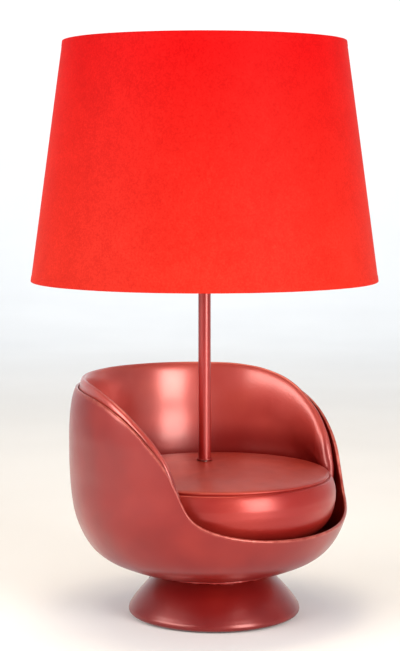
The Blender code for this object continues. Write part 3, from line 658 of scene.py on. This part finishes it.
def pedestal(n=320):
    out = join(dense([(54.2, 44.6), (55.0, 44.2), (63.2, 36.0), (71.2, 27.9), (78.4, 19.5), (82.4, 14.2), (85.2, 9.9),
                      (86.9, 6.6), (87.2, 4.6), (86.7, 2.9), (85.2, 1.7), (83.2, 1.15), (81.0, 1.0)], 0.9))
    back = join(dense([(81.0, 1.0), (80.6, 1.7), (81.0, 2.6)], 0.5), dense([(81.0, 2.6), (84.6, 3.1), (85.0, 6.4), (82.6, 10.9),
                (76.8, 18.6), (61.9, 34.6), (53.4, 42.6)], 3.0))
    rings = blended([ROD_HOLE, 30.0, 53.6], PED_Y, n, lambda x, y: np.full(n, 44.6))
    for r, z in out + back:
        c = ring(r, z, n, 0.0, PED_Y)
        if z > 8.0:
            w = wobble(c[:, 0], c[:, 1], z, 70.0, 0.12, 3.0)
            c[:, 0] *= 1 + w / 80.0
            c[:, 1] = PED_Y + (c[:, 1] - PED_Y) * (1 + w / 80.0)
        rings.append(c)
    rings += blended([ROD_HOLE, 30.0, 52.8], PED_Y, n, lambda x, y: np.full(n, 42.6))[::-1]
    v, f = stitch(rings, True)
    ob = make("pedestal_skin", v, f, M_FOOT_PAINTED_SHADE, "base", "pedestal")
    t = 2 * np.pi * np.arange(40) / 40
    hole = [np.stack([5.0 * np.sin(t), np.full(40, y), GROMMET_Z + 5.0 * np.cos(t)], 1) for y in (54.0, 84.0)]
    hv, hf = stitch([np.array([[0, 54.0, GROMMET_Z]]), *hole, np.array([[0, 84.0, GROMMET_Z]])], False)
    me = bpy.data.meshes.new("hole_tool")
    me.from_pydata((hv * MM).tolist(), [], hf)
    bm = bmesh.new(); bm.from_mesh(me); bmesh.ops.recalc_face_normals(bm, faces=bm.faces[:]); bm.to_mesh(me); bm.free()
    tool = bpy.data.objects.new("hole_tool", me)
    bpy.context.scene.collection.objects.link(tool)
    mod = ob.modifiers.new("cut", "BOOLEAN")
    mod.operation, mod.solver, mod.object = "DIFFERENCE", "EXACT", tool
    bpy.context.view_layer.update()
    new = bpy.data.meshes.new_from_object(ob.evaluated_get(bpy.context.evaluated_depsgraph_get()))
    ob.modifiers.clear()
    ob.data = new
    new.materials.clear()
    new.materials.append(M_FOOT_PAINTED_SHADE)
    for p in new.polygons:
        p.material_index = 0
    new.shade_smooth()
    new.set_sharp_from_angle(angle=math.radians(35))
    bpy.data.objects.remove(tool, do_unlink=True)
    return ob


def lumpy_ring(name, rm, rr, z, centre, n, mat, node, lump, seed, freq):
    t = 2 * np.pi * np.arange(n) / n
    amt = np.zeros(n)
    for k, f in enumerate(freq):
        amt += np.sin(f * t + seed + 1.9 * k) * (0.6 ** k)
    amt = amt / np.abs(amt).max()
    rings = []
    k = 16
    for i in range(k):
        a = 2 * math.pi * i / k
        rad = rr * (1.0 + lump * amt)
        r = rm + rad * math.cos(a) + 0.35 * rr * lump * np.sin(7 * t + seed)
        zz = z + rad * math.sin(a) * (1 - 0.0)
        rings.append(np.stack([centre[0] + r * np.sin(t), centre[1] - r * np.cos(t), zz], 1))
    v, f = stitch(rings, True)
    return make(name, v, f, mat, "base", node)


def grommet(n=64):
    prof = fillet([(3.3, 60.5), (4.7, 60.5), (4.7, 73.2), (6.4, 73.2), (6.4, 75.4), (5.4, 76.4), (3.9, 76.4), (3.3, 75.4)],
                  0.5, 4)
    t = 2 * np.pi * np.arange(n) / n
    rings = [np.stack([r * np.sin(t), np.full(n, y), GROMMET_Z + r * np.cos(t)], 1) for r, y in prof]
    v, f = stitch(rings, True)
    return make("cable_grommet_fine", v, f, M_RUBBER, "base", "cable_grommet")


# ------------------------------------------------------------------ lampholder and bulb
def thread(r0, pitch, depth, lo, hi):
    def shape(r, z, t):
        if not (lo - 0.01 <= z <= hi + 0.01) or abs(r - r0) > 0.35:
            return np.full(len(t), r)
        ph = (z / pitch - t / (2 * np.pi)) % 1.0
        w = 0.5 + 0.5 * np.cos(2 * np.pi * ph)
        fade = min(1.0, (z - lo) / pitch, (hi - z) / pitch)
        return r - depth * (1 - w) * max(0.0, fade)
    return shape


def ribs(r0, count, depth):
    def shape(r, z, t):
        if r < r0:
            return np.full(len(t), r)
        return r - depth * (0.5 + 0.5 * np.cos(count * t)) ** 2
    return shape


def lampholder():
    h = HOLDER_Z
    lathe("lampholder_cap_fine", fillet([(ROD_HOLE, h), (10.8, h), (14.6, h + 2.2), (16.6, h + 5.6), (17.4, h + 12.0),
          (17.4, h + 20.0), (15.6, h + 20.0), (15.6, h + 12.0), (14.4, h + 6.4), (10.4, h + 2.4), (ROD_HOLE, h + 2.2)],
          0.8, 4), 96, M_HOLDER, "base", "lampholder_cap")
    rows = [(19.5, h + 26.4 + 0.25 * i) for i in range(int(29.6 / 0.25))]
    prof = join(fillet([(14.9, h + 20.3), (18.0, h + 20.3), (18.0, h + 24.0), (19.5, h + 26.2)], 0.5, 3, closed=False),
                rows, fillet([(19.5, h + 56.2), (18.8, h + 57.5), (15.4, h + 57.5), (14.9, h + 56.8)], 0.3, 3, closed=False))
    lathe("lampholder_body_fine", prof, 96, M_HOLDER, "base", "lampholder_body",
          shape=thread(19.5, 2.5, 0.55, h + 27.0, h + 55.6))
    lathe("shade_support_ring_fine", fillet([(20.0, h + 25.5), (25.0, h + 25.5), (28.6, h + 30.0), (28.6, h + 32.6),
          (20.0, h + 32.6)], 0.5, 4), 192, M_HOLDER, "base", "shade_support_ring", shape=ribs(24.0, 48, 0.35))
    z = CARRIER_Z
    lathe("ring_flange_fine", fillet([(20.0, z + 1.1), (28.6, z + 1.1), (28.6, z + 2.7), (20.0, z + 2.7)], 0.35, 4), 128,
          M_HOLDER, "ring_rise", "ring_flange")
    lathe("retaining_ring_fine", fillet([(20.0, z + 3.0), (25.2, z + 3.0), (25.6, z + 3.5), (25.2, z + 10.4),
          (24.6, z + 11.0), (20.0, z + 11.0)], 0.3, 3), 288, M_HOLDER, "ring_collar", "retaining_ring",
          shape=ribs(24.0, 36, 0.7))


def bulb():
    b = HOLDER_Z + 28.0
    lathe("bulb_tip_fine", join(dense([(0.0, b), (1.6, b + 0.1), (3.2, b + 0.5), (4.3, b + 1.0), (4.6, b + 1.4)], 0.3),
          [(4.6, b + 1.7), (0.0, b + 1.7)]), 48, M_ZINC, "bulb_rise", "bulb_tip_contact")
    lathe("bulb_insulator_fine", [(0.0, b + 2.0)] + fillet([(5.0, b + 2.0), (9.6, b + 4.4), (9.6, b + 6.0)], 0.4, 4, False)
          + [(0.0, b + 6.0)], 64, M_BLACKGLASS, "bulb", "bulb_insulator")
    rows = [(13.1, b + 8.0 + 0.2 * i) for i in range(int(16.4 / 0.2))]
    prof = join(dense([(9.9, b + 4.8), (12.2, b + 6.4), (13.0, b + 7.6), (13.1, b + 8.0)], 0.4), rows,
                dense([(13.1, b + 24.5), (12.8, b + 25.3), (12.3, b + 25.6), (11.9, b + 25.4)], 0.3),
                [(12.0, b + 24.0), (12.0, b + 9.0)], dense([(12.0, b + 8.6), (11.2, b + 7.4), (9.9, b + 6.5)], 0.8))
    lathe("bulb_cap_fine", prof, 96, M_CAP, "bulb", "bulb_cap", shape=thread(13.1, 3.62, 0.75, b + 8.0, b + 24.0))
    glass = dense([(12.0, b + 26.0), (12.6, b + 29.0), (13.8, b + 32.0), (16.6, b + 38.4), (20.4, b + 45.0),
                   (24.2, b + 51.2), (27.2, b + 58.0), (29.2, b + 65.5), (30.0, b + 74.0), (29.4, b + 82.4),
                   (27.6, b + 90.0), (24.4, b + 97.4), (20.0, b + 103.0), (14.8, b + 106.9), (9.0, b + 109.0),
                   (4.0, b + 109.9), (0.0, b + 110.0)], 1.2)
    inner = dense([(0.0, b + 108.8), (8.6, b + 107.7), (18.8, b + 102.0), (26.4, b + 89.4), (28.8, b + 74.0),
                   (26.0, b + 58.4), (19.2, b + 45.6), (12.6, b + 32.4), (11.0, b + 26.0)], 3.0)
    lathe("bulb_glass_fine", join(inner, glass), 128, M_OPAL, "bulb", "bulb_glass", loop=False)


# ------------------------------------------------------------------ shade
def shade_r(z):
    return SHADE_R_BOTTOM + (SHADE_R_TOP - SHADE_R_BOTTOM) * (z - SHADE_Z_BOTTOM) / (SHADE_Z_TOP - SHADE_Z_BOTTOM)


def shade():
    n, zb, zt = 480, SHADE_Z_BOTTOM, SHADE_Z_TOP
    t = 2 * np.pi * np.arange(n) / n
    edge = 5.5
    hs = np.concatenate([np.linspace(0, 0.9, 5), [1.4, 2.6, 4.0, 5.2, 5.6, 6.4], np.linspace(9.0, zt - zb - 9.0, 46),
                         zt - zb - np.array([6.4, 5.6, 5.2, 4.0, 2.6, 1.4]), zt - zb - np.linspace(0.9, 0, 5)])
    seam = np.pi                                     # the lap runs down the back
    d = (t - seam + np.pi) % (2 * np.pi) - np.pi
    outer, inner = [], []
    for h in hs:
        z = zb + h
        r = shade_r(z)
        e = min(h, zt - zb - h)
        roll = 0.55 * math.sqrt(max(0.0, 1 - (1 - min(e, 0.9) / 0.9) ** 2)) - 0.55
        turned = 0.28 if e < edge else 0.28 * max(0.0, 1 - (e - edge) / 0.5)
        wav = 0.22 * np.sin(3 * t + 0.4) + 0.14 * np.sin(5 * t + 1.1 + 0.004 * h) + 0.10 * np.sin(9 * t + 0.016 * h)
        lap = 0.5 / (1 + np.exp(-(d * r) / 0.25)) * (d * r < 14.0) * (d * r > -3.0)
        outer.append(np.stack([(r + roll + turned + wav + lap - 0.2) * np.sin(t),
                               -(r + roll + turned + wav + lap - 0.2) * np.cos(t), np.full(n, z)], 1))
        inner.append(np.stack([(r - COVER_T + wav * 0.5 + 0.10) * np.sin(t), -(r - COVER_T + wav * 0.5 + 0.10) * np.cos(t),
                               np.full(n, z)], 1))
    v, f = stitch(outer + inner[::-1], True)
    cover = make("shade_cover_velvet", v, f, M_VELVET, "shade", "shade_cover", angle=60.0)
    inset = COVER_T + GAP
    z0, z1 = zb + 1.2, zt - 1.2
    a = [(shade_r(z0) - inset - 0.05, z0), (shade_r(z1) - inset - 0.05, z1), (shade_r(z1) - inset - LINER_T, z1),
         (shade_r(z0) - inset - LINER_T, z0)]
    rows = [(shade_r(z) - inset - 0.05, z) for z in np.linspace(z0, z1, 24)] + [
        (shade_r(z) - inset - LINER_T, z) for z in np.linspace(z1, z0, 24)]
    lathe("shade_liner_fine", rows, 360, M_LINER, "shade", "shade_liner")
    inset += LINER_T + GAP + WIRE_R
    zr0, zr1 = zb + 3.6, zt - 3.6
    r0, r1 = shade_r(zr0) - inset - 0.15, shade_r(zr1) - inset - 0.15
    lathe("shade_bottom_wire_fine", torus_line(r0, WIRE_R, zr0), 360, M_WIRE, "shade", "shade_bottom_wire")
    lathe("shade_top_wire_fine", torus_line(r1, WIRE_R, zr1), 360, M_WIRE, "shade", "shade_top_wire")
    zc = CARRIER_Z
    lathe("carrier_ring_fine", fillet([(21.0, zc - 0.75), (28.2, zc - 0.75), (28.2, zc + 0.75), (21.0, zc + 0.75)], 0.5, 4),
          144, M_WIRE, "shade", "carrier_ring")
    for k in range(3):
        u = math.radians(120.0 * k)
        ra, rb = 28.3 + 0.4 + 0.7, r0 - WIRE_R - 0.6
        q = np.linspace(0, 1, 40)
        rr = ra + (rb - ra) * q
        zz = (zc - 0.4) + (zr0 + 0.6 - zc + 0.4) * q
        path = np.stack([rr * math.sin(u), -rr * math.cos(u), zz], 1)
        rad = 1.7 * np.sqrt(np.clip(1 - (1 - np.clip(np.minimum(q, 1 - q) * 150 / 1.5, 0, 1)) ** 2, 0.02, 1))
        rad = np.where(q < 0.02, np.minimum(rad, 1.2), rad)
        tube("shade_arm_%d_fine" % (k + 1), path, rad, 20, M_WIRE, "shade", "shade_arm_%d" % (k + 1))


# ------------------------------------------------------------------ build
shell()
pad()
cushion()
pedestal()
lumpy_ring("joint_bead_fine", 58.0, 1.20, 43.4, (0.0, PED_Y), 720, M_BEAD_PAINTED_GLINT, "joint_bead", 0.52, 0.4,
           (9, 23, 41, 67, 97))
lumpy_ring("stem_foot_bead_fine", STEM_R + GAP + 0.80, 0.85, FOOT_Z + 0.95, (0.0, 0.0), 96, M_LAC, "stem_foot_bead",
           0.18, 1.1, (3, 7, 11))
lathe("felt_pad_fine", [(0.0, 0.0)] + fillet([(79.8, 0.0), (79.8, 3.0)], 0.6, 4, False) + [(0.0, 3.0)], 240, M_FELT, "base",
      "felt_pad", centre=(0.0, PED_Y))
grommet()
lathe("stem_tube_fine", fillet([(STEM_BORE, FOOT_Z), (STEM_R, FOOT_Z)], 0.2, 2, False)
      + [(STEM_R, z) for z in np.linspace(FOOT_Z + 1, HOLDER_Z - 1.5, 60)]
      + fillet([(STEM_R, HOLDER_Z - 0.3), (STEM_BORE, HOLDER_Z - 0.3)], 0.2, 2, False), 72, M_STEM_PAINTED_LIGHT, "base", "stem_tube")
lampholder()
bulb()
shade()

for name, mat in (("seat_pan", M_ZINC), ("cushion_spacer", M_ZINC), ("seat_riser", M_ZINC), ("base_plate", M_ZINC),
                  ("threaded_rod", M_ZINC), ("bottom_washer", M_ZINC), ("bottom_nut", M_ZINC), ("top_nut", M_ZINC),
                  ("terminal_block", M_BLOCK), ("contact_sleeve", M_BRASS), ("centre_contact", M_BRASS)):
    ob = bpy.data.objects[name]
    for s in ob.material_slots:
        s.material = mat
    if not ob.material_slots:
        ob.data.materials.append(mat)

# ------------------------------------------------------------------ floor, light, camera
scene = bpy.context.scene
AZ = math.radians(-47.0)
right = Vector((math.cos(AZ), math.sin(AZ), 0.0))
away = Vector((-math.sin(AZ), math.cos(AZ), 0.0))
up = Vector((0.0, 0.0, 1.0))


def floor():
    m, nt, b = new_mat("pale_floor")
    c = coords(nt)
    col = ramp(nt, noise_tex(nt, c, 3.0, 2.0).outputs["Fac"], [(0.3, (0.80, 0.835, 0.87)), (0.7, (0.83, 0.865, 0.90))])
    nt.links.new(col.outputs["Color"], b.inputs["Base Color"])
    b.inputs["Roughness"].default_value = 0.9
    b.inputs["Specular IOR Level"].default_value = 0.1
    me = bpy.data.meshes.new("floor")
    pts, n = [], 96
    rs = [0.0, 0.3, 0.8, 1.6, 2.6, 3.2, 3.6, 3.9, 4.1, 4.2, 4.2]
    zs = [0, 0, 0, 0, 0, 0.06, 0.22, 0.5, 0.9, 1.4, 5.0]
    rings = [ring(r * 1000, z * 1000, n) for r, z in zip(rs, zs)]
    v, f = stitch(rings, False)
    me.from_pydata((v * MM - np.array([0, 0, 0.0002])).tolist(), [], f)
    me.shade_smooth()
    me.materials.append(m)
    ob = bpy.data.objects.new("floor", me)
    scene.collection.objects.link(ob)


def area(name, at, target, size, power, colour=(1, 1, 1), size_y=None):
    l = bpy.data.lights.new(name, "AREA")
    l.energy, l.color, l.shape, l.size = power, colour, "RECTANGLE", size
    l.size_y = size_y or size
    ob = bpy.data.objects.new(name, l)
    pos = right * at[0] + away * at[1] + up * at[2]
    ob.location = pos
    tgt = right * target[0] + away * target[1] + up * target[2]
    ob.rotation_mode = "QUATERNION"
    ob.rotation_quaternion = (tgt - pos).to_track_quat("-Z", "Y")
    scene.collection.objects.link(ob)
    return ob


floor()
world = bpy.data.worlds.new("studio")
scene.world = world
world.use_nodes = True
bg = world.node_tree.nodes["Background"]
bg.inputs["Color"].default_value = (1.0, 1.0, 1.0, 1.0)
bg.inputs["Strength"].default_value = 0.34
WARM = (1.0, 0.91, 0.82)
area("soft_left", (-1.45, -0.85, 0.74), (0, 0, 0.2), 1.60, 30.0, colour=WARM, size_y=0.80)
area("soft_right", (1.10, -1.35, 0.62), (0, 0, 0.25), 0.80, 37.0, colour=WARM, size_y=1.2)
area("top", (-0.1, 0.2, 2.2), (0, 0, 0.2), 1.0, 24.0, colour=(1.0, 0.76, 0.50))
area("backdrop", (0.0, 2.7, 2.3), (0, 4.0, 0.3), 1.8, 30.0, size_y=0.5)

cam_data = bpy.data.cameras.new("camera")
cam = bpy.data.objects.new("camera", cam_data)
scene.collection.objects.link(cam)
cam_data.sensor_fit = "AUTO"
cam_data.sensor_width = 36.0
cam_data.lens = 1686.0 / 651.0 * 36.0
cam_data.clip_start, cam_data.clip_end = 0.05, 30.0
pos = right * -0.00457 - away * 1.7 + up * 0.4569
pitch = math.radians(5.52)
look = away * math.cos(pitch) - up * math.sin(pitch)
cam.location = pos
cam.rotation_mode = "QUATERNION"
cam.rotation_quaternion = look.to_track_quat("-Z", "Y")
scene.camera = cam
scene.view_settings.view_transform = "Standard"
scene.view_settings.look = "None"
